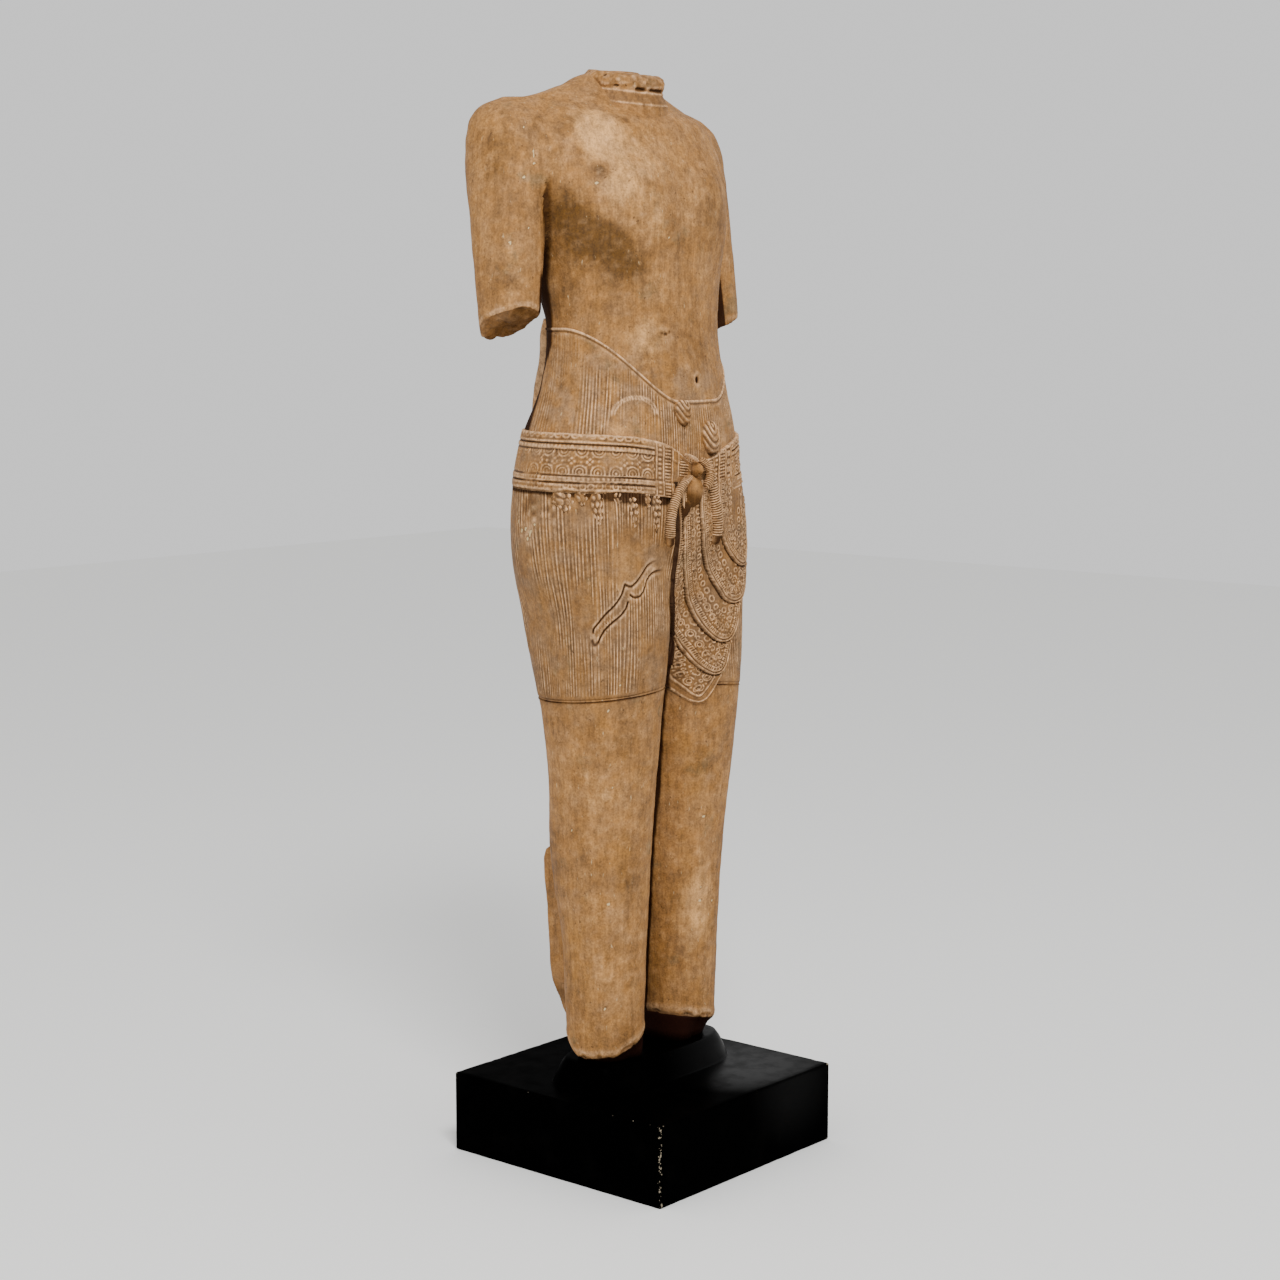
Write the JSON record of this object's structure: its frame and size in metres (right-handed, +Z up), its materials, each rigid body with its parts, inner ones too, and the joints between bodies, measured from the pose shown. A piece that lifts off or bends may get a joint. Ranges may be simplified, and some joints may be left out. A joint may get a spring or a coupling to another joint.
{
  "type": "plaster deity torso on a plinth",
  "caption": "Standing robed deity figure without head, forearms or feet, cast in brown stained plaster, with a pleated hip cloth and knotted sash, on a black square plinth.",
  "frame": {"origin": "middle of the plinth's underside, on the surface it stands on", "axes": "+Z up along the figure, -Y the way the figure faces, +X towards the figure's left"},
  "size_m": [0.4019, 0.305, 1.2202],
  "materials": {
    "stained_plaster": "matte",
    "black_lacquer": "gloss"
  },
  "bodies": {
    "root": {"torso": "stained_plaster", "plinth": "black_lacquer"}
  },
  "joints": []
}
